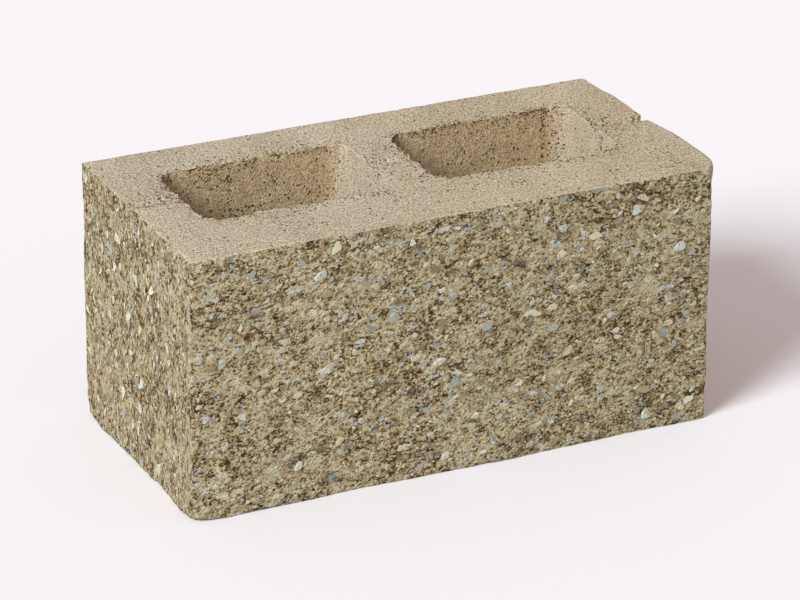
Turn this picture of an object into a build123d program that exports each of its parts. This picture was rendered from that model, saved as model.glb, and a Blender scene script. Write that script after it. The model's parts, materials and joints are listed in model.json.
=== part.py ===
"""Hollow concrete fence block, split-faced on its front and on one end.

The block is one casting. It is moulded upright round two tapered cores, which hang from a bar
along the mould, and the bar leaves its mark across the webs. Two sides of the cured blank are then
split off, and the break leaves those faces uneven.

Millimetres, +Z up. The origin is the middle of the underside, +X points along the block to its
plain moulded end, and +Y points to its plain moulded back.
"""

import os
from math import cos, radians, sin, tau

from build123d import *

# Finished size. A split face reaches this size at its proudest places.
BLOCK_LENGTH = 390.0
BLOCK_WIDTH = 190.0
BLOCK_HEIGHT = 190.0

# Concrete round the two cells, measured on the top face.
FRONT_SHELL = 60.0
BACK_SHELL = 42.0
END_WEB = 39.0
MIDDLE_WEB = 32.0

# Cells. The cores taper so that the mould lifts off upwards.
CELL_CORNER_RADIUS = 14.0
CORE_TAPER_DEG = 1.0
CELL_RIM_RADIUS = 1.0

# Edges between moulded faces.
MOULD_CORNER_RADIUS = 4.0
TOP_ARRIS_RADIUS = 2.0

# Mark of the core bar: a shallow trough across the webs, and a slot in the plain end.
BAR_MARK_WIDTH = 12.0
BAR_MARK_DEPTH = 1.5
BAR_SLOT_DEPTH = 5.0
BAR_SLOT_HEIGHT = 30.0

# Splitting. The waste is the strip that breaks off the blank beyond each split face.
SPLIT_WASTE = 20.0
SPLIT_RELIEF = 3.5
SPLIT_SAMPLE_STEP = 18.0
# Each wave of the break: its length, and its heading up from the horizontal in degrees.
SPLIT_WAVES = ((171.0, 24.0), (118.0, 108.0), (83.0, 63.0), (61.0, 151.0))
FRONT_PHASES = (0.04, 0.40, 0.02, 0.72)
END_PHASES = (0.53, 0.72, 0.57, 0.27)

# Sizes that follow from the ones above.
CELL_LENGTH = (BLOCK_LENGTH - 2 * END_WEB - MIDDLE_WEB) / 2
CELL_WIDTH = BLOCK_WIDTH - FRONT_SHELL - BACK_SHELL
CELL_SPACING = CELL_LENGTH + MIDDLE_WEB
CELL_LINE_Y = (FRONT_SHELL - BACK_SHELL) / 2

TOP = Plane.XY.offset(BLOCK_HEIGHT)
PLAIN_END = Plane(origin=(BLOCK_LENGTH / 2, CELL_LINE_Y, BLOCK_HEIGHT), x_dir=(0, 1, 0), z_dir=(1, 0, 0))
SPLIT_FRONT = Plane(origin=(0, -BLOCK_WIDTH / 2, 0), x_dir=(1, 0, 0), z_dir=(0, -1, 0))
SPLIT_END = Plane(origin=(-BLOCK_LENGTH / 2, 0, 0), x_dir=(0, -1, 0), z_dir=(-1, 0, 0))


def segment_radius(chord, depth):
    """Radius of the circle that cuts a trough of this width and depth."""
    return (chord**2 / 4 + depth**2) / (2 * depth)


def break_depth(along, up, phases):
    """How far the break dips behind the proudest plane, from 0 to the full relief."""
    swing = 0.0
    for (length, heading), phase in zip(SPLIT_WAVES, phases):
        run = along * cos(radians(heading)) + up * sin(radians(heading))
        swing += sin(tau * (run / length + phase))
    return SPLIT_RELIEF * (1 - swing / len(SPLIT_WAVES)) / 2


def steps(low, high):
    """Evenly spaced sample places from low to high."""
    count = max(4, round((high - low) / SPLIT_SAMPLE_STEP))
    return [low + (high - low) * i / count for i in range(count + 1)]


def break_surface(plane, width, phases):
    """The uneven surface of a break, drawn on a plane that faces out of the block."""
    half = width / 2 + SPLIT_WASTE
    rows = [
        [
            plane.from_local_coords((along, up, -break_depth(along, up, phases)))
            for along in steps(-half, half)
        ]
        for up in steps(-SPLIT_WASTE, BLOCK_HEIGHT + SPLIT_WASTE)
    ]
    return Face.make_surface_from_array_of_points(rows)


with BuildPart() as fence_block:
    # Blank, with a strip of waste on the two sides that are split.
    with BuildSketch():
        with Locations((BLOCK_LENGTH / 2, BLOCK_WIDTH / 2)):
            Rectangle(BLOCK_LENGTH + SPLIT_WASTE, BLOCK_WIDTH + SPLIT_WASTE, align=(Align.MAX, Align.MAX))
    extrude(amount=BLOCK_HEIGHT)

    # Moulded corner between the back and the plain end, and the top arrises of those two faces.
    corner_foot = (BLOCK_LENGTH / 2, BLOCK_WIDTH / 2, 0)
    corner_head = (BLOCK_LENGTH / 2, BLOCK_WIDTH / 2, BLOCK_HEIGHT)
    upright_edges = fence_block.edges().filter_by(Axis.Z)
    fillet(upright_edges.sort_by_distance(corner_foot)[0], radius=MOULD_CORNER_RADIUS)
    top_edges = fence_block.faces().sort_by(Axis.Z)[-1].edges()
    fillet(top_edges.sort_by_distance(corner_head)[:3], radius=TOP_ARRIS_RADIUS)

    # Two through cells, widest at the top.
    with BuildSketch(TOP):
        with Locations((0, CELL_LINE_Y)):
            with GridLocations(CELL_SPACING, 0, 2, 1):
                RectangleRounded(CELL_LENGTH, CELL_WIDTH, CELL_CORNER_RADIUS)
    extrude(amount=-BLOCK_HEIGHT, taper=CORE_TAPER_DEG, mode=Mode.SUBTRACT)
    cell_rims = fence_block.faces().sort_by(Axis.Z)[-1].inner_wires().edges()
    fillet(cell_rims, radius=CELL_RIM_RADIUS)

    # Trough that the core bar leaves across the webs.
    mark_radius = segment_radius(BAR_MARK_WIDTH, BAR_MARK_DEPTH)
    with BuildSketch(PLAIN_END):
        with Locations((0, mark_radius - BAR_MARK_DEPTH)):
            Circle(mark_radius)
    extrude(amount=-(BLOCK_LENGTH + SPLIT_WASTE), mode=Mode.SUBTRACT)

    # Slot where the bar's end stood in the plain end.
    slot_radius = segment_radius(BAR_MARK_WIDTH, BAR_SLOT_DEPTH)
    with BuildSketch(TOP):
        with Locations((BLOCK_LENGTH / 2 + slot_radius - BAR_SLOT_DEPTH, CELL_LINE_Y)):
            Circle(slot_radius)
    extrude(amount=-BAR_SLOT_HEIGHT, mode=Mode.SUBTRACT)

    # Break off the waste along the two uneven surfaces.
    split(bisect_by=break_surface(SPLIT_FRONT, BLOCK_LENGTH, FRONT_PHASES), keep=Keep.TOP)
    split(bisect_by=break_surface(SPLIT_END, BLOCK_WIDTH, END_PHASES), keep=Keep.TOP)

fence_block.part.label = "fence_block"

os.makedirs("parts", exist_ok=True)
export_step(fence_block.part, "parts/fence_block.step")
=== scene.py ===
"""Looks of the split-faced concrete fence block: its crumbly skin, its gravel, its finishes and the studio.

Metres, +Z up, in the block's own frame. The front looks along -Y and the split end along -X.
"""

import json
import random
from itertools import product
from math import cos, exp, hypot, radians, sin, tan

import bmesh
import bpy
from mathutils import Matrix, Vector, noise
from mathutils.bvhtree import BVHTree


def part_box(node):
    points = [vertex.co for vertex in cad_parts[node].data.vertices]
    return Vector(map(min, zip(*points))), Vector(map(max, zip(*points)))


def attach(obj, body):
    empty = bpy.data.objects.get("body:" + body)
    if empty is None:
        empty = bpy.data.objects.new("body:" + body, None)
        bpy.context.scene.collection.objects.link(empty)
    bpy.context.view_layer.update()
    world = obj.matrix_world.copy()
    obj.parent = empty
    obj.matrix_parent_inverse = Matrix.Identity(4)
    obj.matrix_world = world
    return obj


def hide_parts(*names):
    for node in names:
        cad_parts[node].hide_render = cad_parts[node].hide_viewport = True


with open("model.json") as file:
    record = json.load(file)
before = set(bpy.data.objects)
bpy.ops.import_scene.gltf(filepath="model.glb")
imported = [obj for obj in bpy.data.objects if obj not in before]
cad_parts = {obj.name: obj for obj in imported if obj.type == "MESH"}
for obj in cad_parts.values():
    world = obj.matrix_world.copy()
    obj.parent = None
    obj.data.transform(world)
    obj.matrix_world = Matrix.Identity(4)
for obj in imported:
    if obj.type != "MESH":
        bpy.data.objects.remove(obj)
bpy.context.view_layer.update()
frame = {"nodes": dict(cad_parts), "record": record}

MM = 0.001
X, Y, Z = 0, 1, 2
NODE = "fence_block"
LOW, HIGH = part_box(NODE)
MIDDLE = (LOW + HIGH) / 2

# Cells. Each clear opening of the record is this much smaller all round than the cell's rim.
OPENING_INSET = 7.5 * MM
CELL_CORNER_RADIUS = 14 * MM
CELL_RIM_RADIUS = 1 * MM
CORE_TAPER = tan(radians(1))
CELL_RIMS = []
for opening in frame["record"]["physics"]["openings"]:
    near, far = (Vector(corner) for corner in opening["box_m"])
    margin = Vector((OPENING_INSET, OPENING_INSET, 0))
    CELL_RIMS.append((near - margin, far + margin))
CELL_LINE_Y = (CELL_RIMS[0][0].y + CELL_RIMS[0][1].y) / 2

# Finishes of the skin, in the order of its material slots.
SPLIT_FRONT, SPLIT_END, TAMPED, DRAWN = range(4)

# Uneven breaks: the depth within which they lie, how far in from a split face they bend the skin, and how
# far in from the block's edges they are measured.
BREAK_REACH = 8 * MM
BREAK_FADE = 30 * MM
BREAK_INSET = 4 * MM

# Mesh of the skin: one fine step for the split faces and, on the top, near its split edges, the cells' rims
# and the core bar's mark, and multiples of it elsewhere. Down the cells' walls, the part that is seen has
# shorter steps than the rest.
FINE_STEP = 1.5 * MM
TOP_EVERY = 2
WALL_EVERY = 2
PLAIN_EVERY = 4
UNDER_EVERY = 4
RIM_REACH = 4.5 * MM
WALL_SEEN_DEPTH = 75 * MM
WALL_SEEN_STEP = 2.4 * MM
WALL_DEEP_STEP = 19 * MM
# A place this near to one of the four upright sides belongs to the block's outside.
OUTER_REACH = 12 * MM
# Least share of a normal along an axis for a face that looks along it, and of an edge's length that rises.
FACING = 0.7
UPRIGHT = 0.95


# Skin of the block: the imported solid's own surface, cut fine, worn and roughened.

def looks_along(face, axis, sign, place):
    """True for a face that looks along an axis and lies at a place on it."""
    return face.normal[axis] * sign > FACING and abs(face.calc_center_median()[axis] - place) < BREAK_REACH


def even_places(low, high):
    """Cutting places one fine step apart."""
    count = round((high - low) / FINE_STEP)
    return [low + (high - low) * i / count for i in range(1, count)]


def thinned(places, every, lines=()):
    """One in so many of the places, and all of them near the given lines."""
    kept = []
    for i, place in enumerate(places, 1):
        if i % every == 0 or any(abs(place - line) < RIM_REACH for line in lines):
            kept.append(place)
    return kept


def parts_of(faces):
    """The faces with their edges and vertices, as an operator's geometry."""
    edges = {edge for face in faces for edge in face.edges}
    verts = {vert for face in faces for vert in face.verts}
    return [*faces, *edges, *verts]


def slice_faces(bm, faces, axis, places):
    """Cuts faces with planes across an axis, in rising order, and gives back all the pieces."""
    normal = Vector((0, 0, 0))
    normal[axis] = 1
    done = []
    ahead = list(faces)
    for place in places:
        cut = bmesh.ops.bisect_plane(
            bm, geom=parts_of(ahead), dist=0.01 * MM, plane_co=normal * place, plane_no=normal
        )
        pieces = [item for item in cut["geom"] if isinstance(item, bmesh.types.BMFace)]
        ahead = []
        for face in pieces:
            side = ahead if face.calc_center_median()[axis] > place else done
            side.append(face)
    return done + ahead


def finish_faces(bm, finish):
    return [face for face in bm.faces if face.material_index == finish]


def straighten(bm, finish, axis, place):
    """Moves the faces of one finish onto a plane, so that they can be cut evenly."""
    for face in finish_faces(bm, finish):
        for vert in face.verts:
            vert.co[axis] = place


def is_outer(place):
    """True for a place near one of the four upright sides."""
    from_low = min(place.x - LOW.x, place.y - LOW.y)
    from_high = min(HIGH.x - place.x, HIGH.y - place.y)
    return min(from_low, from_high) < OUTER_REACH


def upright_edges(bm, outer, low, high):
    """Upright edges, of the outside or of the cells, whose lengths lie between low and high."""
    found = []
    for edge in bm.edges:
        start, end = (vert.co for vert in edge.verts)
        rise = abs(end.z - start.z)
        is_upright = rise > UPRIGHT * (end - start).length
        if low < rise < high and is_upright and is_outer((start + end) / 2) == outer:
            found.append(edge)
    return found


def cut_skin(bm):
    """Gives each finish its own fineness of mesh."""
    x_fine = even_places(LOW.x, HIGH.x)
    y_fine = even_places(LOW.y, HIGH.y)
    x_lines = [LOW.x] + [corner.x for rim in CELL_RIMS for corner in rim]
    y_lines = [LOW.y, CELL_LINE_Y] + [corner.y for corner in CELL_RIMS[0]]

    slice_faces(bm, finish_faces(bm, SPLIT_FRONT), X, x_fine)
    slice_faces(bm, finish_faces(bm, SPLIT_END), Y, y_fine)

    drawn = finish_faces(bm, DRAWN)
    outer = [face for face in drawn if is_outer(face.calc_center_median())]
    inner = [face for face in drawn if not is_outer(face.calc_center_median())]
    faces = slice_faces(bm, outer, X, thinned(x_fine, PLAIN_EVERY))
    slice_faces(bm, faces, Y, thinned(y_fine, PLAIN_EVERY))
    faces = slice_faces(bm, inner, X, thinned(x_fine, WALL_EVERY))
    faces = slice_faces(bm, faces, Y, thinned(y_fine, WALL_EVERY))
    seen_from = HIGH.z - WALL_SEEN_DEPTH
    slice_faces(bm, faces, Z, [seen_from])

    tamped = finish_faces(bm, TAMPED)
    under = [face for face in tamped if face.calc_center_median().z < MIDDLE.z]
    top = [face for face in tamped if face.calc_center_median().z > MIDDLE.z]
    faces = slice_faces(bm, under, X, thinned(x_fine, UNDER_EVERY))
    slice_faces(bm, faces, Y, thinned(y_fine, UNDER_EVERY))
    faces = slice_faces(bm, top, X, thinned(x_fine, TOP_EVERY, x_lines))
    slice_faces(bm, faces, Y, thinned(y_fine, TOP_EVERY, y_lines))

    longest_seen = 1.01 * WALL_SEEN_DEPTH
    seen = upright_edges(bm, False, WALL_SEEN_DEPTH / 2, longest_seen)
    deep = upright_edges(bm, False, longest_seen, HIGH.z)
    bmesh.ops.subdivide_edges(bm, edges=seen, cuts=round(WALL_SEEN_DEPTH / WALL_SEEN_STEP))
    bmesh.ops.subdivide_edges(bm, edges=deep, cuts=round(seen_from / WALL_DEEP_STEP))
    sides = upright_edges(bm, True, MIDDLE.z, 2 * HIGH.z)
    bmesh.ops.subdivide_edges(bm, edges=sides, cuts=round(HIGH.z / FINE_STEP) - 1)


def round_cell_corners(bm):
    """Moves the flat facets of the cells' upright corners onto the round that they stand for."""
    walls = {vert for face in finish_faces(bm, DRAWN) for vert in face.verts if not is_outer(vert.co)}
    for vert in walls:
        low, high = CELL_RIMS[vert.co.x > MIDDLE.x]
        offset = vert.co - (low + high) / 2
        across = abs(offset.x) - (high.x - low.x) / 2 + CELL_CORNER_RADIUS
        along = abs(offset.y) - (high.y - low.y) / 2 + CELL_CORNER_RADIUS
        if across <= 0 or along <= 0:
            continue
        rise = max(0.0, vert.co.z - HIGH.z + CELL_RIM_RADIUS)
        rim = CELL_RIM_RADIUS - max(0.0, CELL_RIM_RADIUS**2 - rise**2) ** 0.5
        radius = CELL_CORNER_RADIUS - CORE_TAPER * (HIGH.z - vert.co.z) + rim
        growth = radius / hypot(across, along) - 1
        vert.co.x += growth * across * (1 if offset.x > 0 else -1)
        vert.co.y += growth * along * (1 if offset.y > 0 else -1)


# Wear of the arrises, in millimetres: its usual and least radius, the depth of its chips, and the sizes of
# the spots.
ARRIS_RADIUS = 0.8
ARRIS_LEAST = 0.3
ARRIS_SPOT = 5
CHIP_DEPTH = 4.0
CHIP_SPOT = 10
# Corners that are knocked off, by how many millimetres, and how far along the arrises that reaches.
CORNER_REACH = 26 * MM
KNOCKED_CORNERS = (
    (Vector((LOW.x, LOW.y, HIGH.z)), 7.0),
    (Vector((LOW.x, LOW.y, LOW.z)), 6.0),
    (Vector((HIGH.x, LOW.y, HIGH.z)), 2.5),
    (Vector((LOW.x, HIGH.y, LOW.z)), 4.0),
)


def arris_radius(place):
    """How far the arrises are worn at a place, in metres."""
    p = place / MM
    wear = ARRIS_RADIUS * (1 + 0.6 * noise.noise(p / ARRIS_SPOT))
    wear += CHIP_DEPTH * max(0.0, noise.noise(p / CHIP_SPOT) - 0.2)
    for corner, size in KNOCKED_CORNERS:
        wear += size * max(0.0, 1 - (place - corner).length / CORNER_REACH)
    return max(ARRIS_LEAST, wear) * MM


def wear_arrises(bm):
    """Rounds off the outer arrises by an uneven radius, while the sides are still straight."""
    for vert in bm.verts:
        if not is_outer(vert.co):
            continue
        radius = arris_radius(vert.co)
        close = []
        for axis in (X, Y, Z):
            for sign, depth in ((1, vert.co[axis] - LOW[axis]), (-1, HIGH[axis] - vert.co[axis])):
                if depth < radius:
                    close.append((axis, sign, radius - depth))
        length = sum(over * over for axis, sign, over in close) ** 0.5
        if len(close) > 1 and length > radius:
            for axis, sign, over in close:
                vert.co[axis] += sign * over * (1 - radius / length)


class Breaks:
    """Where the solid's two split faces lie behind their proudest points."""

    def __init__(self, bm):
        self.tree = BVHTree.FromBMesh(bm)

    def kept_inside(self, value, axis):
        return min(max(value, LOW[axis] + BREAK_INSET), HIGH[axis] - BREAK_INSET)

    def depth(self, axis, place):
        """How far the split face across an axis lies behind its proudest point, level with a place."""
        start = Vector([self.kept_inside(value, i) for i, value in enumerate(place)])
        start[axis] = LOW[axis] - BREAK_REACH
        heading = Vector((0, 0, 0))
        heading[axis] = 1
        hit = self.tree.ray_cast(start, heading, 3 * BREAK_REACH)[0]
        return hit[axis] - LOW[axis] if hit else 0.0


def bend_to_breaks(bm, breaks):
    """Bends the straight split sides back onto the solid's uneven ones, fading out inwards."""
    moves = []
    for vert in bm.verts:
        move = Vector((0, 0, 0))
        for axis in (X, Y):
            share = 1 - (vert.co[axis] - LOW[axis]) / BREAK_FADE
            if share > 0:
                move[axis] = share * breaks.depth(axis, vert.co)
        moves.append(move)
    for vert, move in zip(bm.verts, moves):
        vert.co += move


# Plain end: how far its top swelled out when the mould came off, at places across it from front to back,
# in millimetres.
END_SWELLING = (
    (-95, -3.0), (-90, 2.0), (-80, 6.8), (-68, 8.0), (-25, 7.6),
    (-5, 4.0), (10, 2.5), (58, 2.8), (68, 0.0), (95, -1.0),
)
SWELL_FADE = 36 * MM
SWELL_DEPTH = 20 * MM


def swelling(y):
    """How far the top of the plain end stands out at a place across it, in metres."""
    for (start, first), (end, last) in zip(END_SWELLING, END_SWELLING[1:]):
        if y / MM <= end:
            share = max(0.0, (y / MM - start) / (end - start))
            return (first + (last - first) * share) * MM
    return END_SWELLING[-1][1] * MM


def swell_plain_end(bm):
    """Swells the top of the plain end, fading out inwards and downwards."""
    for vert in bm.verts:
        share = 1 - (HIGH.x - vert.co.x) / SWELL_FADE
        if share > 0:
            vert.co.x += share * exp(-(((HIGH.z - vert.co.z) / SWELL_DEPTH) ** 2)) * swelling(vert.co.y)


# Grain of the split faces: stretched along the front, and upwards on the end.
FRONT_STRETCH = 1.4
END_STRETCH = 1.6
# Relief of the split faces: the height and size of its lumps, of its grains and of its pits, in millimetres.
# A pit's width is a share of the pits' spacing.
LUMP_HEIGHT = 0.35
LUMP_SIZE = 21
GRAIN_WAVES = ((0.5, 5.2), (0.4, 2.7))
PIT_SPACING = 7.5
PIT_DEPTH = 1.6
PIT_WIDTH = 0.27
# Relief of the moulded faces: the heights and sizes of its waves, in millimetres, and the share by which the
# pattern of drag marks is slowed down upwards.
TAMPED_WAVES = ((0.2, 14), (0.14, 4))
DRAG_WAVES = ((0.25, 7), (0.15, 3))
DRAWN_WAVES = ((0.2, 9),)
DRAG_SHARE = 0.15
# Porous places: how far they reach from a rim and from the core bar's mark, how porous the mark is beside a
# rim, the size of their patches, and the least porosity of a cell's wall.
RIM_POROSITY_REACH = 4.5 * MM
MARK_POROSITY_REACH = 7 * MM
MARK_POROSITY_DEPTH = 6 * MM
MARK_POROSITY = 0.6
POROSITY_PATCH = 13 * MM
CELL_WALL_POROSITY = 0.14
# Rims of the cells, in millimetres: how far they are jagged and how deep porous places crumble, with the
# sizes of the spots.
JAG_HEIGHT = 2.4
JAG_SIZE = 2.1
JAG_REACH = 1.5
CRUMBLE_DEPTH = 3.8
CRUMBLE_SIZES = (3.6, 1.9)
# Share of the wear that the rim of a cell wall facing the lamp is spared.
LAMP_SIDE_RIM_SPARED = 0.75


def rim_distance(place):
    """How far a place lies from the nearest rim of a cell, in metres."""
    nearest = HIGH.x
    for low, high in CELL_RIMS:
        half = (high - low) / 2
        across = abs(place.x - (low.x + high.x) / 2) - half.x + CELL_CORNER_RADIUS
        along = abs(place.y - (low.y + high.y) / 2) - half.y + CELL_CORNER_RADIUS
        outside = hypot(max(across, 0), max(along, 0)) + min(max(across, along), 0)
        nearest = min(nearest, abs(outside - CELL_CORNER_RADIUS))
    return hypot(nearest, HIGH.z - place.z)


def porosity(place):
    """How porous the moulded surface is at a place, from 0 to 1: most at the rims and the bar's mark."""
    rim = exp(-rim_distance(place) / RIM_POROSITY_REACH)
    across = exp(-((place.y - CELL_LINE_Y) / MARK_POROSITY_REACH) ** 2)
    mark = across * exp(-(HIGH.z - place.z) / MARK_POROSITY_DEPTH)
    patch = 0.5 + 0.5 * noise.noise(place / POROSITY_PATCH)
    return min(1.0, (rim + MARK_POROSITY * mark) * (0.4 + 0.9 * patch))


def waves(place, sorts):
    """Uneven waves of the given heights and sizes, in millimetres."""
    return sum(height * noise.noise(place / size) for height, size in sorts)


def split_relief(place):
    """Height of a broken face over its broad waves, in millimetres, from a place on its stretched grain."""
    lumps = noise.fractal(place / LUMP_SIZE, 0.9, 2.0, 3)
    distances, points = noise.voronoi(place / PIT_SPACING)
    has_pit = noise.noise(points[0] * 5.3) > 0.02
    pit = max(0.0, 1 - distances[0] / PIT_WIDTH) if has_pit else 0.0
    return LUMP_HEIGHT * lumps + waves(place, GRAIN_WAVES) - PIT_DEPTH * pit


def tamped_relief(place):
    """Height of the faces that the mould closes, in millimetres."""
    return waves(place, TAMPED_WAVES)


def drawn_relief(place):
    """Height of the faces that the mould is drawn along, with its upright drag marks, in millimetres."""
    dragged = Vector((place.x, place.y, place.z * DRAG_SHARE))
    return waves(dragged, DRAG_WAVES) + waves(place, DRAWN_WAVES)


def jag(place, rim):
    """How far a cell's rim stands in or out at a place, in millimetres, from its distance to the rim."""
    return JAG_HEIGHT * noise.noise(place / JAG_SIZE) * exp(-rim / JAG_REACH)


def crumble(place):
    """How deep the concrete has crumbled away at a porous place, in millimetres."""
    coarse, fine = (noise.noise(place / size) for size in CRUMBLE_SIZES)
    return CRUMBLE_DEPTH * max(0.0, coarse + 0.5 * fine - 0.12)


def roughen(bm):
    """Gives the skin its relief, and keeps how hollow, how porous and how lamp-facing each place is.

    Facing runs from 1 where a cell wall looks to the split end and lamp to -1 where it looks to the plain
    end.
    """
    hollow = bm.verts.layers.float.new("hollow")
    porous = bm.verts.layers.float.new("porous")
    lamp_facing = bm.verts.layers.float.new("lamp_facing")
    bm.normal_update()
    moves = []
    for vert in bm.verts:
        place = vert.co / MM
        finishes = [face.material_index for face in vert.link_faces]
        height = 0.0
        for finish in set(finishes):
            share = finishes.count(finish) / len(finishes)
            if finish == SPLIT_FRONT:
                height += share * split_relief(Vector((place.x / FRONT_STRETCH, place.y, place.z)))
            elif finish == SPLIT_END:
                height += share * split_relief(Vector((place.x, place.y, place.z / END_STRETCH)))
            elif finish == TAMPED:
                height += share * tamped_relief(place)
            else:
                height += share * drawn_relief(place)
        if TAMPED in finishes or DRAWN in finishes:
            # How far a cell wall faces the lamp; it sets the walls' painted light and painted shade, and
            # spares their rims.
            if not is_outer(vert.co):
                vert[lamp_facing] = -vert.normal.x / max(0.1, hypot(vert.normal.x, vert.normal.y))
            wear = 1 - LAMP_SIDE_RIM_SPARED * max(0.0, vert[lamp_facing])
            vert[porous] = wear * porosity(vert.co)
            if DRAWN in finishes and not is_outer(vert.co):
                vert[porous] = max(vert[porous], CELL_WALL_POROSITY)
            height += wear * jag(place, rim_distance(vert.co) / MM) - vert[porous] * crumble(place)
        vert[hollow] = -height
        moves.append(vert.normal * height * MM)
    for vert, move in zip(bm.verts, moves):
        vert.co += move
        vert.co.z = max(vert.co.z, LOW.z)


# Edges of the skin that turn more than the sharp angle stay sharp. Facets of the solid that turn less than
# the flat angle are joined before the skin is cut.
SHARP_ANGLE = radians(55)
FLAT_ANGLE = radians(0.8)


def new_piece(name, mesh):
    piece = bpy.data.objects.new(name, mesh)
    bpy.context.collection.objects.link(piece)
    return piece


def make_skin():
    """The visible block."""
    bm = bmesh.new()
    bm.from_mesh(frame["nodes"][NODE].data)
    bmesh.ops.remove_doubles(bm, verts=bm.verts[:], dist=0.001 * MM)
    breaks = Breaks(bm)
    for face in bm.faces:
        if looks_along(face, Y, -1, LOW.y):
            face.material_index = SPLIT_FRONT
        elif looks_along(face, X, -1, LOW.x):
            face.material_index = SPLIT_END
        elif abs(face.normal.z) > FACING:
            face.material_index = TAMPED
        else:
            face.material_index = DRAWN
    for finish, axis in ((SPLIT_FRONT, Y), (SPLIT_END, X)):
        bmesh.ops.dissolve_faces(bm, faces=finish_faces(bm, finish))
        straighten(bm, finish, axis, LOW[axis])
    bmesh.ops.dissolve_limit(
        bm, angle_limit=FLAT_ANGLE, verts=bm.verts[:], edges=bm.edges[:], delimit={"MATERIAL"}
    )
    cut_skin(bm)
    round_cell_corners(bm)
    wear_arrises(bm)
    bend_to_breaks(bm, breaks)
    swell_plain_end(bm)
    roughen(bm)
    for face in bm.faces:
        face.smooth = True
    for edge in bm.edges:
        edge.smooth = edge.calc_face_angle(0) < SHARP_ANGLE
    mesh = bpy.data.meshes.new("block_skin")
    bm.to_mesh(mesh)
    bm.free()
    return new_piece("block_skin", mesh)


# Gravel that the breaks laid bare: angular stones set in the skin, each cut by the break.

GRAVEL_SEED = 41
STONE_SHAPES = 24
STONE_POINTS = 14
# Width, thickness and height of the broken face of a stone, as shares of its half length.
STONE_WIDTH = 0.6
STONE_THICKNESS = 0.5
STONE_CUT = 0.07
# How far a stone keeps from the side's edges, its lean, the spread of headings in degrees, and how close two
# stones may lie, as a share of their half lengths.
STONE_MARGIN = 1 * MM
STONE_LEAN = radians(6)
HEADING_SPREAD = 24
STONE_CLOSENESS = 0.75
# Places round a stone's middle at which the skin's height is taken, as shares of its half length.
SEAT_SAMPLES = ((0, 0), (0.6, 0), (-0.6, 0), (0, 0.5), (0, -0.5))
# Stones that are tried on each area of this many square metres, with their least and greatest lengths in
# millimetres. The bias makes the short ones of a sort more common.
GRAVEL_AREA = 0.01
GRAVEL_SORTS = ((48, 4.5, 13.0), (110, 2.2, 4.5), (400, 1.3, 2.4))
GRAVEL_BIAS = 1.7
# Patches of a side by which the laid stones are kept. Stones that touch lie in the same or in next patches.
GRAVEL_PATCH = 14 * MM


def stone_shape(rng):
    """An angular stone two units long, with a flat broken face towards its own +Z."""
    bm = bmesh.new()
    for _ in range(STONE_POINTS):
        out = Vector((rng.gauss(0, 1), rng.gauss(0, 1), rng.gauss(0, 1))).normalized()
        bm.verts.new((out.x, out.y * STONE_WIDTH, min(out.z * STONE_THICKNESS, STONE_CUT)))
    hull = bmesh.ops.convex_hull(bm, input=bm.verts[:])
    spare = {item for item in hull["geom_interior"] if isinstance(item, bmesh.types.BMVert)}
    bmesh.ops.delete(bm, geom=list(spare), context="VERTS")
    mesh = bpy.data.meshes.new("stone")
    bm.to_mesh(mesh)
    bm.free()
    return mesh


class SplitSide:
    """A split side of the block: its directions, its width and the usual heading of its stones."""

    def __init__(self, axis, along, heading_deg):
        self.axis = axis
        self.along = Vector(along)
        self.up = Vector((0, 0, 1))
        self.out = self.along.cross(self.up)
        self.width = HIGH[1 - axis] - LOW[1 - axis]
        self.heading_deg = heading_deg

    def point(self, u, v):
        """The place on the side's flat plane at u along it from its middle and v up."""
        place = MIDDLE + self.along * u
        place[self.axis] = LOW[self.axis]
        place.z = LOW.z + v
        return place

    def surface(self, tree, u, v):
        """The skin's height out of the flat plane at that place, or none beside it."""
        start = self.point(u, v) + self.out * BREAK_REACH
        hit = tree.ray_cast(start, -self.out, 3 * BREAK_REACH)[0]
        return (hit - self.point(u, v)).dot(self.out) if hit else None


SPLIT_SIDES = (SplitSide(Y, (1, 0, 0), heading_deg=10), SplitSide(X, (0, -1, 0), heading_deg=84))


def seat_matrix(side, tree, u, v, half, rng):
    """Where a stone of this half length lies in the skin, or none where the skin ends."""
    turn = radians(rng.gauss(side.heading_deg, HEADING_SPREAD))
    long_way = side.along * cos(turn) + side.up * sin(turn)
    wide_way = side.out.cross(long_way)
    heights = []
    for du, dv in SEAT_SAMPLES:
        height = side.surface(tree, u + du * half, v + dv * half)
        if height is None:
            return None
        heights.append(height)
    seat = side.point(u, v) + side.out * (sum(heights) / len(heights))
    axes = Matrix((long_way, wide_way, side.out)).transposed().to_4x4()
    roll = Matrix.Rotation(rng.gauss(0, STONE_LEAN), 4, "X")
    pitch = Matrix.Rotation(rng.gauss(0, STONE_LEAN), 4, "Y")
    return Matrix.Translation(seat) @ axes @ roll @ pitch @ Matrix.Scale(half, 4)


class Bed:
    """The stones laid so far on one side, kept by patches of it."""

    def __init__(self):
        self.patches = {}

    def patch(self, u, v):
        return int(u // GRAVEL_PATCH), int(v // GRAVEL_PATCH)

    def has_room(self, u, v, half):
        column, row = self.patch(u, v)
        for key in product((column - 1, column, column + 1), (row - 1, row, row + 1)):
            for other_u, other_v, other_half in self.patches.get(key, ()):
                if hypot(u - other_u, v - other_v) < STONE_CLOSENESS * (half + other_half):
                    return False
        return True

    def lay(self, u, v, half):
        self.patches.setdefault(self.patch(u, v), []).append((u, v, half))


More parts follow.
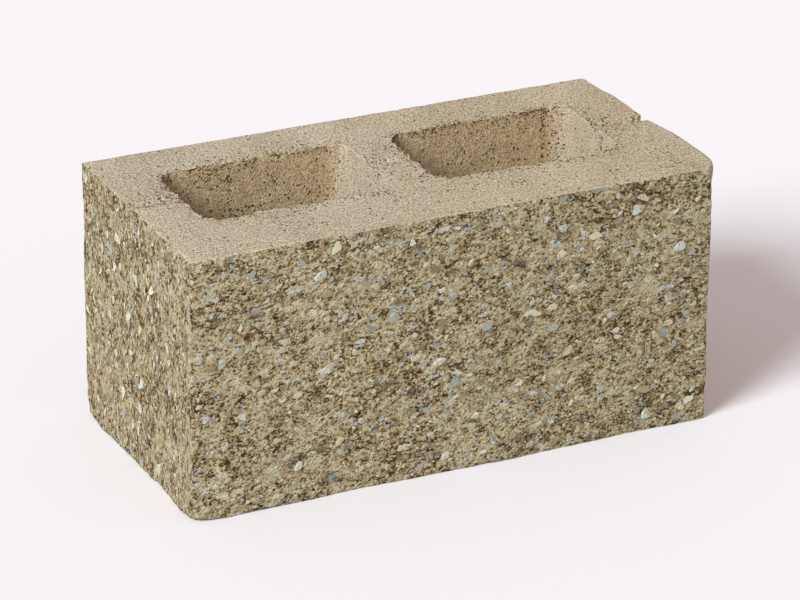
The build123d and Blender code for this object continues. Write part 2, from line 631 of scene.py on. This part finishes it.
def make_gravel(skin):
    """All the exposed stones of both split sides, as one mesh with a rock sort for each stone."""
    rng = random.Random(GRAVEL_SEED)
    shapes = [stone_shape(rng) for _ in range(STONE_SHAPES)]
    tree = BVHTree.FromObject(skin, bpy.context.evaluated_depsgraph_get())
    bm = bmesh.new()
    rocks = []
    for side in SPLIT_SIDES:
        bed = Bed()
        for density, least, greatest in GRAVEL_SORTS:
            count = round(density * side.width * HIGH.z / GRAVEL_AREA)
            for _ in range(count):
                half = least * (greatest / least) ** (rng.random() ** GRAVEL_BIAS) / 2 * MM
                margin = STONE_MARGIN + half
                u = (rng.random() - 0.5) * (side.width - 2 * margin)
                v = margin + rng.random() * (HIGH.z - 2 * margin)
                shape = rng.choice(shapes)
                rock = rng.random()
                if not bed.has_room(u, v, half):
                    continue
                matrix = seat_matrix(side, tree, u, v, half, rng)
                if matrix is None:
                    continue
                bed.lay(u, v, half)
                copy = shape.copy()
                copy.transform(matrix)
                bm.from_mesh(copy)
                bpy.data.meshes.remove(copy)
                rocks += [rock] * len(shape.vertices)
    mesh = bpy.data.meshes.new("exposed_gravel")
    bm.to_mesh(mesh)
    bm.free()
    mesh.attributes.new("rock", "FLOAT", "POINT").data.foreach_set("value", rocks)
    for shape in shapes:
        bpy.data.meshes.remove(shape)
    return new_piece("exposed_gravel", mesh)


# Node helpers.

def srgb(red, green, blue):
    """A colour as seen, from 0 to 255, as the linear colour that a shader takes."""
    channels = []
    for value in (red, green, blue):
        value /= 255
        channels.append(value / 12.92 if value <= 0.04045 else ((value + 0.055) / 1.055) ** 2.4)
    return (*channels, 1)


def put(tree, kind, inputs=None, **settings):
    """A new node with its settings and inputs; an input that is a socket is linked."""
    node = tree.nodes.new("ShaderNode" + kind)
    for name, value in settings.items():
        setattr(node, name, value)
    for name, value in (inputs or {}).items():
        if isinstance(value, bpy.types.NodeSocket):
            tree.links.new(value, node.inputs[name])
        else:
            node.inputs[name].default_value = value
    return node


def math(tree, operation, first, second=0.0, third=0.0):
    return put(tree, "Math", {0: first, 1: second, 2: third}, operation=operation).outputs[0]


def mix(tree, share, first, second, blend="MIX"):
    """A colour between two, or a blend of the second colour over the first."""
    inputs = {0: share, 6: first, 7: second}
    return put(tree, "Mix", inputs, data_type="RGBA", blend_type=blend).outputs[2]


def soft_step(tree, value, low, high):
    """0 on the low side and 1 on the high side, with a smooth way between."""
    inputs = {"Value": value, "From Min": low, "From Max": high}
    return put(tree, "MapRange", inputs, interpolation_type="SMOOTHSTEP").outputs[0]


def ramp(tree, value, stops, interpolation="LINEAR"):
    """A colour that runs through the given places and colours."""
    node = put(tree, "ValToRGB", {0: value})
    node.color_ramp.interpolation = interpolation
    elements = node.color_ramp.elements
    elements.remove(elements[1])
    elements[0].position, elements[0].color = stops[0]
    for place, colour in stops[1:]:
        elements.new(place).color = colour
    return node.outputs[0]


def cloud(tree, place, size, detail=2.0, roughness=0.5):
    """Noise from 0 to 1 with spots of about this size in millimetres."""
    inputs = {"Vector": place, "Scale": 1 / size, "Detail": detail, "Roughness": roughness}
    return put(tree, "TexNoise", inputs).outputs[0]


def cells(tree, place, size):
    """A cell pattern with cells of about this size in millimetres."""
    return put(tree, "TexVoronoi", {"Vector": place, "Scale": 1 / size}).outputs


def parted(tree, colour):
    """The three channels of a colour, as random numbers of a cell pattern."""
    return put(tree, "SeparateColor", {0: colour}).outputs


def jittered(tree, place, size, reach):
    """A place moved about at random, so that a cell pattern on it loses its straight sides."""
    inputs = {"Vector": place, "Scale": 1 / size, "Detail": 1.0}
    shift = put(tree, "TexNoise", inputs).outputs[1]
    moved = put(tree, "VectorMath", {0: shift, 1: (reach,) * 3, 2: place}, operation="MULTIPLY_ADD")
    return moved.outputs[0]


def attribute(tree, name):
    return put(tree, "Attribute", attribute_name=name).outputs["Fac"]


def placed(tree, stretch=(1, 1, 1), turn=(0, 0, 0)):
    """The place on the block in millimetres, with a pattern stretched and turned."""
    coordinates = put(tree, "TexCoord").outputs["Object"]
    size = tuple(value * MM for value in stretch)
    inputs = {"Vector": coordinates, "Rotation": turn, "Scale": size}
    return put(tree, "Mapping", inputs, vector_type="TEXTURE").outputs[0]


def new_group(name, inputs, outputs):
    """An empty node group, with its own inputs to read and outputs to feed."""
    tree = bpy.data.node_groups.new(name, "ShaderNodeTree")
    for title, kind in inputs:
        tree.interface.new_socket(title, in_out="INPUT", socket_type="NodeSocket" + kind)
    for title, kind in outputs:
        tree.interface.new_socket(title, in_out="OUTPUT", socket_type="NodeSocket" + kind)
    given = tree.nodes.new("NodeGroupInput").outputs
    result = tree.nodes.new("NodeGroupOutput").inputs
    return tree, given, result


def use_group(tree, group, inputs):
    return put(tree, "Group", inputs, node_tree=group).outputs


def new_material(name):
    material = bpy.data.materials.new(name)
    material.use_nodes = True
    material.node_tree.nodes.clear()
    return material


def finish_material(tree, colour, height, depth, roughness):
    """Closes a material: its colour, its roughness, and a bump of the given depth in millimetres."""
    bump = put(tree, "Bump", {"Strength": 1.0, "Distance": depth * MM, "Height": height})
    shader = put(tree, "BsdfPrincipled", {
        "Base Color": colour,
        "Roughness": roughness,
        "Specular IOR Level": DULL_SPECULAR,
        "Normal": bump.outputs[0],
    })
    put(tree, "OutputMaterial", {"Surface": shader.outputs["BSDF"]})


# Dullness of the concrete and of its stones, and the depth of each finish's bump in millimetres.
CONCRETE_ROUGHNESS = 0.92
ROCK_ROUGHNESS = 0.85
DULL_SPECULAR = 0.1
SPLIT_BUMP = 2.4
MOULDED_BUMP = 0.9
ROCK_BUMP = 0.4
# Colours of a broken face from its deepest hollows to its palest crumbs, with the tone at which each lies.
# The darkest tones lie where the bump is deepest and are partly the paste's colour, partly painted shade.
BREAK_TONES = (
    (0.330, srgb(90, 68, 43)),
    (0.380, srgb(124, 102, 71)),
    (0.425, srgb(148, 127, 93)),
    (0.475, srgb(171, 152, 115)),
    (0.525, srgb(190, 174, 137)),
    (0.575, srgb(204, 191, 157)),
    (0.625, srgb(213, 204, 173)),
    (0.675, srgb(221, 217, 194)),
)
# Pale plates and dark patches of a broken face, painted shade in its crevices, holes and hollows, and the
# paste and dark specks on its stones.
PLATE = srgb(217, 208, 174)
DARK_PATCH = srgb(88, 68, 54)
PAINTED_CREVICE_SHADE = srgb(58, 40, 22)
PASTE = srgb(198, 182, 144)
SPECK = srgb(148, 127, 93)
# Sizes in millimetres of what shows on a broken face, and its share in the tone.
CRUMB_SIZE, CRUMB_SHARE = 10, 0.44
SAND_SIZE, SAND_SHARE = 1.45, 0.56
GRAIN_SIZE, GRAIN_SHARE = 2.0, 0.22
TONE_SPOT_SIZE, TONE_SPOT_SHARE = 42, 0.13
TONE_SHIFT = -0.155
# Plates and patches: their size in millimetres, their strength, and the draws from which a cell is a plate
# and below which it is a dark patch.
PLATE_SIZE = 13.0
PLATE_STRENGTH = 0.42
PLATE_FROM = 0.84
DARK_PATCH_BELOW = 0.12
# Small stones and crevices: their sizes in millimetres, the draw from which a cell is a stone, and how
# strongly the gaps get painted shade and how deep they lie in the bump.
PEBBLE_SIZE = 5.0
PEBBLE_FROM = 0.7
CREVICE_SIZE = 5.0
GAP_SHADE = 0.8
GAP_DEPTH = 0.12
# The two split faces: the stretch and turn of their grain, their tints near the split end and far from it,
# and how strong the painted shade in their hollows is. The split end's tints, darker than the front's, are
# painted shade of that side.
FRONT_GRAIN = ((FRONT_STRETCH, 1, 1), (0, radians(-10), 0))
FRONT_TINTS = (srgb(251, 248, 243), srgb(232, 230, 223))
FRONT_SHADE = 0.5
END_GRAIN = ((1, 1, END_STRETCH), (radians(6), 0, 0))
END_SHADED_TINTS = (srgb(227, 219, 212),) * 2
END_SHADE = 0.9
# Colours of the moulded faces and of the painted shade in their pores and hollows, and how strongly the dark
# ones cover. Cell walls that look to the split end, where the lamp is, get a paler colour that is painted
# light, and those that look to the plain end get a darker one that is painted shade.
TOP_LIGHT = srgb(225, 210, 189)
TOP_DARK = srgb(152, 135, 108)
WALL_LIGHT = srgb(231, 208, 173)
WALL_DARK = srgb(178, 153, 117)
PAINTED_LIT_LIGHT = srgb(223, 206, 186)
PAINTED_LIT_DARK = srgb(170, 153, 129)
PAINTED_WALL_SHADE = srgb(104, 86, 60)
PORE_AND_HOLLOW_SHADE = srgb(58, 45, 29)
PAINTED_WALL_SHADE_SHARE = 0.45
PORE_SHADE = 0.85
CRUMBLED_SHADE = 0.6
# Tints of the moulded faces near the split end and far from it, and the stretch of their sand and drag
# marks.
MOULDED_TINTS = (srgb(255, 255, 253), srgb(251, 248, 242))
TOP_STRETCH = (1, 1.6, 1)
WALL_STRETCH = (1, 1, 1.1)
DRAG_STRETCH = (1, 1, 12)
# Upright seams of the cores, which show as lines of pores, in millimetres: places along the cells' back
# walls, the strip across the block in which those walls lie, and the place across the walls that look to the
# split end.
BACK_WALL_SEAMS = (-102, 139)
BACK_WALL_STRIP = (45, 60)
LAMP_SIDE_WALL_SEAM = -4
# Rock sorts, with the share at which each one starts.
ROCKS = (
    (0.0, srgb(218, 213, 183)),
    (0.26, srgb(222, 223, 211)),
    (0.42, srgb(201, 210, 207)),
    (0.58, srgb(206, 197, 156)),
    (0.74, srgb(160, 171, 172)),
    (0.88, srgb(120, 117, 100)),
    (0.95, srgb(174, 146, 104)),
    (0.985, srgb(120, 62, 54)),
)


def sand_grain_group():
    """Fine sand: a speckle from 0 to 1 about a half."""
    tree, given, result = new_group("sand_grain", [("Place", "Vector")], [("Speckle", "Float")])
    tree.links.new(cloud(tree, given["Place"], 1.3, 1.0, 0.8), result["Speckle"])
    return tree


def pores_group():
    """Small open pores, in clusters, and more of them where the amount is greater."""
    inputs = [("Place", "Vector"), ("Amount", "Float")]
    tree, given, result = new_group("pores", inputs, [("Mask", "Float")])
    holes = cells(tree, jittered(tree, given["Place"], 2.0, 1.3), 1.4)
    luck = parted(tree, holes["Color"])
    clusters = soft_step(tree, cloud(tree, given["Place"], 15, 2.0), 0.38, 0.62)
    chance = math(tree, "MULTIPLY", given["Amount"], math(tree, "MULTIPLY_ADD", clusters, 1.4, 0.3))
    is_open = math(tree, "LESS_THAN", luck[0], chance)
    reach = math(tree, "MULTIPLY_ADD", luck[1], -0.4, holes["Distance"])
    tree.links.new(math(tree, "MULTIPLY", soft_step(tree, reach, 0.34, 0.2), is_open), result["Mask"])
    return tree


def broken_concrete_group():
    """A broken face: crumbs of sandy paste, plates, dark patches, small stones, holes and crevices."""
    outputs = [("Color", "Color"), ("Height", "Float")]
    tree, given, result = new_group("broken_concrete", [("Place", "Vector")], outputs)
    place = jittered(tree, given["Place"], 3.0, 2.6)
    crumbs = cloud(tree, given["Place"], CRUMB_SIZE, 3.0, 0.9)
    sand = cloud(tree, given["Place"], SAND_SIZE, 1.0, 0.7)
    grains = parted(tree, cells(tree, place, GRAIN_SIZE)["Color"])[0]
    spots = cloud(tree, given["Place"], TONE_SPOT_SIZE, 1.0)
    tone = math(tree, "MULTIPLY_ADD", sand, SAND_SHARE, TONE_SHIFT)
    tone = math(tree, "MULTIPLY_ADD", crumbs, CRUMB_SHARE, tone)
    tone = math(tree, "MULTIPLY_ADD", grains, GRAIN_SHARE, tone)
    tone = math(tree, "MULTIPLY_ADD", spots, TONE_SPOT_SHARE, tone)
    colour = ramp(tree, tone, BREAK_TONES)

    plates = cells(tree, place, PLATE_SIZE)
    lot = parted(tree, plates["Color"])[0]
    spread = math(tree, "MULTIPLY", soft_step(tree, plates["Distance"], 0.5, 0.3), PLATE_STRENGTH)
    is_plate = math(tree, "GREATER_THAN", lot, PLATE_FROM)
    is_patch = math(tree, "LESS_THAN", lot, DARK_PATCH_BELOW)
    colour = mix(tree, math(tree, "MULTIPLY", spread, is_plate), colour, PLATE)
    colour = mix(tree, math(tree, "MULTIPLY", spread, is_patch), colour, DARK_PATCH)

    stones = cells(tree, place, PEBBLE_SIZE)
    luck = parted(tree, stones["Color"])
    edge = math(tree, "MULTIPLY_ADD", tone, -0.8, math(tree, "ADD", stones["Distance"], 0.4))
    is_stone = math(tree, "GREATER_THAN", luck[0], PEBBLE_FROM)
    body = math(tree, "MULTIPLY", soft_step(tree, edge, 0.46, 0.42), is_stone)
    strength = math(tree, "MULTIPLY_ADD", luck[2], 0.6, 0.35)
    rock = ramp(tree, luck[1], ROCKS, "CONSTANT")
    colour = mix(tree, math(tree, "MULTIPLY", body, strength), colour, rock)

    # Holes and crevices that the bump sinks, darkened with painted shade.
    fold = math(tree, "ABSOLUTE", math(tree, "SUBTRACT", cloud(tree, place, CREVICE_SIZE, 2.0), 0.5))
    gaping = soft_step(tree, crumbs, 0.49, 0.45)
    crevice = math(tree, "MULTIPLY", soft_step(tree, fold, 0.04, 0.02), gaping)
    hole = soft_step(tree, math(tree, "MULTIPLY_ADD", crumbs, 0.3, sand), 0.5, 0.47)
    gap = math(tree, "MAXIMUM", crevice, hole)
    colour = mix(tree, math(tree, "MULTIPLY", gap, GAP_SHADE), colour, PAINTED_CREVICE_SHADE)
    tree.links.new(colour, result["Color"])
    tree.links.new(math(tree, "MULTIPLY_ADD", gap, -GAP_DEPTH, tone), result["Height"])
    return tree


def tint_along(tree, near_tint, far_tint):
    """A tint that turns from one to the other along the block, from its split end to its plain end."""
    along = put(tree, "SeparateXYZ", {0: placed(tree)}).outputs[0]
    return mix(tree, soft_step(tree, along, LOW.x / MM, HIGH.x / MM), near_tint, far_tint)


def split_concrete(name, broken_concrete, grain, tints, shade):
    """Concrete laid bare by the break, with painted shade in its hollows by the given share."""
    material = new_material(name)
    tree = material.node_tree
    broken = use_group(tree, broken_concrete, {"Place": placed(tree, *grain)})
    # Painted shade in the skin's hollows.
    sunk = soft_step(tree, attribute(tree, "hollow"), 0.4, 1.8)
    colour = mix(tree, math(tree, "MULTIPLY", sunk, shade), broken["Color"], PAINTED_CREVICE_SHADE)
    # Tint along the block; the split end's darker tints are painted shade of that side.
    colour = mix(tree, 1.0, colour, tint_along(tree, *tints), "MULTIPLY")
    finish_material(tree, colour, broken["Height"], SPLIT_BUMP, CONCRETE_ROUGHNESS)
    return material


def moulded_skin(tree, sand_grain, pores, place, shift, colours, amount):
    """Colour and height of a moulded face: two-tone sand, and pores and crumbled hollows in painted shade.
    """
    speckle = use_group(tree, sand_grain, {"Place": place})["Speckle"]
    colour = colours(math(tree, "ADD", speckle, shift))
    pore = use_group(tree, pores, {"Place": place, "Amount": amount})["Mask"]
    # Painted shade in the pores and in the hollows where the skin crumbled.
    sunk = soft_step(tree, attribute(tree, "hollow"), 0.4, 1.6)
    pore_shade = math(tree, "MULTIPLY", pore, PORE_SHADE)
    sunk_shade = math(tree, "MULTIPLY", sunk, CRUMBLED_SHADE)
    dark = math(tree, "MAXIMUM", pore_shade, sunk_shade)
    height = math(tree, "MULTIPLY_ADD", pore, -0.35, speckle)
    return mix(tree, dark, colour, PORE_AND_HOLLOW_SHADE), height


def tamped_concrete(sand_grain, pores):
    """Concrete of the top and the underside, closed by the mould."""
    material = new_material("tamped_concrete")
    tree = material.node_tree
    place = placed(tree, TOP_STRETCH)
    shift = math(tree, "MULTIPLY_ADD", cloud(tree, place, 45, 3.0), 0.2, -0.1)
    amount = math(tree, "MULTIPLY_ADD", attribute(tree, "porous"), 0.6, 0.03)

    def colours(tone):
        return ramp(tree, tone, ((0.32, TOP_DARK), (0.68, TOP_LIGHT)))

    colour, height = moulded_skin(tree, sand_grain, pores, place, shift, colours, amount)
    colour = mix(tree, 1.0, colour, tint_along(tree, *MOULDED_TINTS), "MULTIPLY")
    finish_material(tree, colour, height, MOULDED_BUMP, CONCRETE_ROUGHNESS)
    return material


def seam_line(tree, value, seam):
    """A mask of the narrow strip along one seam."""
    return soft_step(tree, math(tree, "ABSOLUTE", math(tree, "SUBTRACT", value, seam)), 2.2, 0.9)


def core_seams(tree, lamp_facing):
    """A mask of the upright lines that the cores' seams leave on the cells' walls."""
    place = put(tree, "SeparateXYZ", {0: placed(tree)}).outputs
    lines = 0.0
    for seam in BACK_WALL_SEAMS:
        lines = math(tree, "MAXIMUM", lines, seam_line(tree, place["X"], seam))
    for edge, side in zip(BACK_WALL_STRIP, ("GREATER_THAN", "LESS_THAN")):
        lines = math(tree, "MULTIPLY", lines, math(tree, side, place["Y"], edge))
    lamp_side_line = math(tree, "MULTIPLY", seam_line(tree, place["Y"], LAMP_SIDE_WALL_SEAM), lamp_facing)
    return math(tree, "MAXIMUM", lines, lamp_side_line)


def drawn_concrete(sand_grain, pores):
    """Concrete of the cell walls, the back and the plain end, with the mould's upright drag marks."""
    material = new_material("drawn_concrete")
    tree = material.node_tree
    place = placed(tree, WALL_STRETCH)
    streaks = cloud(tree, placed(tree, DRAG_STRETCH), 4.0, 2.0, 0.8)
    shift = math(tree, "MULTIPLY_ADD", streaks, 0.2, -0.1)
    lamp_facing = attribute(tree, "lamp_facing")
    amount = math(tree, "MULTIPLY_ADD", attribute(tree, "porous"), 0.7, 0.05)
    amount = math(tree, "MULTIPLY_ADD", lamp_facing, -0.1, amount)
    amount = math(tree, "MULTIPLY_ADD", core_seams(tree, lamp_facing), 1.4, amount)

    def colours(tone):
        plain = ramp(tree, tone, ((0.34, WALL_DARK), (0.66, WALL_LIGHT)))
        # A paler copy of the wall colours, painted light, for the walls that face the lamp.
        painted_lit_wall = ramp(tree, tone, ((0.34, PAINTED_LIT_DARK), (0.66, PAINTED_LIT_LIGHT)))
        skin = mix(tree, soft_step(tree, lamp_facing, 0.15, 0.85), plain, painted_lit_wall)
        # Painted shade on the walls and corner rounds that face away from the lamp.
        shade = math(tree, "MULTIPLY", soft_step(tree, lamp_facing, -0.05, -0.8), PAINTED_WALL_SHADE_SHARE)
        return mix(tree, shade, skin, PAINTED_WALL_SHADE)

    colour, height = moulded_skin(tree, sand_grain, pores, place, shift, colours, amount)
    colour = mix(tree, 1.0, colour, tint_along(tree, *MOULDED_TINTS), "MULTIPLY")
    finish_material(tree, colour, height, MOULDED_BUMP, CONCRETE_ROUGHNESS)
    return material


def gravel_rock():
    """The exposed stones, each of its own rock, with a film of paste here and there."""
    material = new_material("gravel_rock")
    tree = material.node_tree
    place = placed(tree)
    speckle = cloud(tree, place, 1.6, 1.0, 0.9)
    rock = ramp(tree, attribute(tree, "rock"), ROCKS, "CONSTANT")
    film = soft_step(tree, cloud(tree, place, 5.0, 2.0, 0.8), 0.48, 0.66)
    colour = mix(tree, math(tree, "MULTIPLY_ADD", film, 0.45, 0.16), rock, PASTE)
    colour = mix(tree, soft_step(tree, speckle, 0.4, 0.32), colour, SPECK)
    finish_material(tree, colour, speckle, ROCK_BUMP, ROCK_ROUGHNESS)
    return material


def dress(skin, gravel):
    """Gives both pieces their materials, the skin's in the order of its finishes."""
    sand_grain = sand_grain_group()
    pores = pores_group()
    broken = broken_concrete_group()
    for material in (
        split_concrete("split_front_concrete", broken, FRONT_GRAIN, FRONT_TINTS, FRONT_SHADE),
        split_concrete("split_end_concrete", broken, END_GRAIN, END_SHADED_TINTS, END_SHADE),
        tamped_concrete(sand_grain, pores),
        drawn_concrete(sand_grain, pores),
    ):
        skin.data.materials.append(material)
    gravel.data.materials.append(gravel_rock())


# Studio: a pale floor and surround, dim light from all round, and one broad lamp from the left.

BACKGROUND = srgb(250, 245, 248)
FLOOR_BOUNCE = srgb(205, 200, 202)
FLOOR_HALF = 6.0
WORLD_STRENGTH = 0.45
WORLD_TINT = (1.08, 0.97, 0.94, 1)
KEY_STRENGTH = 2.93
KEY_TINT = (0.93, 1.03, 1.06)
KEY_HEADING = Vector((0.92, 0.392))
KEY_ELEVATION = radians(36)
KEY_ANGLE = radians(24)
KEY_DISTANCE = 2.0


def make_floor():
    bm = bmesh.new()
    bmesh.ops.create_grid(bm, x_segments=1, y_segments=1, size=FLOOR_HALF)
    mesh = bpy.data.meshes.new("floor")
    bm.to_mesh(mesh)
    bm.free()
    material = new_material("floor_paper")
    tree = material.node_tree
    path = put(tree, "LightPath").outputs
    seen = math(tree, "MAXIMUM", path["Is Camera Ray"], path["Is Glossy Ray"])
    shader = put(tree, "BsdfDiffuse", {"Color": mix(tree, seen, FLOOR_BOUNCE, BACKGROUND)})
    put(tree, "OutputMaterial", {"Surface": shader.outputs[0]})
    mesh.materials.append(material)
    new_piece("floor", mesh)


def light_studio():
    world = bpy.data.worlds.new("studio")
    bpy.context.scene.world = world
    world.use_nodes = True
    tree = world.node_tree
    tree.nodes.clear()
    path = put(tree, "LightPath").outputs
    dim = put(tree, "Background", {"Color": WORLD_TINT, "Strength": WORLD_STRENGTH})
    seen = put(tree, "Background", {"Color": BACKGROUND, "Strength": 1.0})
    mixed = put(tree, "MixShader", {0: path["Is Camera Ray"], 1: dim.outputs[0], 2: seen.outputs[0]})
    put(tree, "OutputWorld", {"Surface": mixed.outputs[0]})
    key = bpy.data.lights.new("key", "SUN")
    key.energy = KEY_STRENGTH
    key.color = KEY_TINT
    key.angle = KEY_ANGLE
    lamp = bpy.data.objects.new("key", key)
    travel = Vector((*(KEY_HEADING * cos(KEY_ELEVATION)), -sin(KEY_ELEVATION)))
    lamp.rotation_euler = travel.to_track_quat("-Z", "Y").to_euler()
    lamp.location = -KEY_DISTANCE * travel
    bpy.context.collection.objects.link(lamp)


# Camera, fitted to the block's edges in the photograph.
CAMERA_AZIMUTH = radians(-25.718)
CAMERA_ELEVATION = radians(24.205)
CAMERA_ROLL = radians(0.454)
CAMERA_DISTANCE = 2.9363
CAMERA_RIGHT = 3.43 * MM
CAMERA_UP = 81.49 * MM
CAMERA_LENS = 188.42
CAMERA_SENSOR = 36
CAMERA_SIGHT = 100


def place_camera():
    camera = bpy.data.cameras.new("camera")
    camera.lens = CAMERA_LENS
    camera.sensor_width = CAMERA_SENSOR
    camera.sensor_fit = "HORIZONTAL"
    camera.clip_end = CAMERA_SIGHT
    back = Vector((
        sin(CAMERA_AZIMUTH) * cos(CAMERA_ELEVATION),
        -cos(CAMERA_AZIMUTH) * cos(CAMERA_ELEVATION),
        sin(CAMERA_ELEVATION),
    ))
    right = Vector((0, 0, 1)).cross(back).normalized()
    up = back.cross(right)
    rolled_right = right * cos(CAMERA_ROLL) + up * sin(CAMERA_ROLL)
    rolled_up = up * cos(CAMERA_ROLL) - right * sin(CAMERA_ROLL)
    place = back * CAMERA_DISTANCE + rolled_right * CAMERA_RIGHT + rolled_up * CAMERA_UP
    turn = Matrix((rolled_right, rolled_up, back)).transposed().to_4x4()
    holder = bpy.data.objects.new("camera", camera)
    holder.matrix_world = Matrix.Translation(place) @ turn
    bpy.context.collection.objects.link(holder)
    bpy.context.scene.camera = holder


bpy.context.scene.view_settings.view_transform = "Standard"
skin = make_skin()
gravel = make_gravel(skin)
dress(skin, gravel)
for piece in (skin, gravel):
    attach(piece, "root")
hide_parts(NODE)
make_floor()
light_studio()
place_camera()
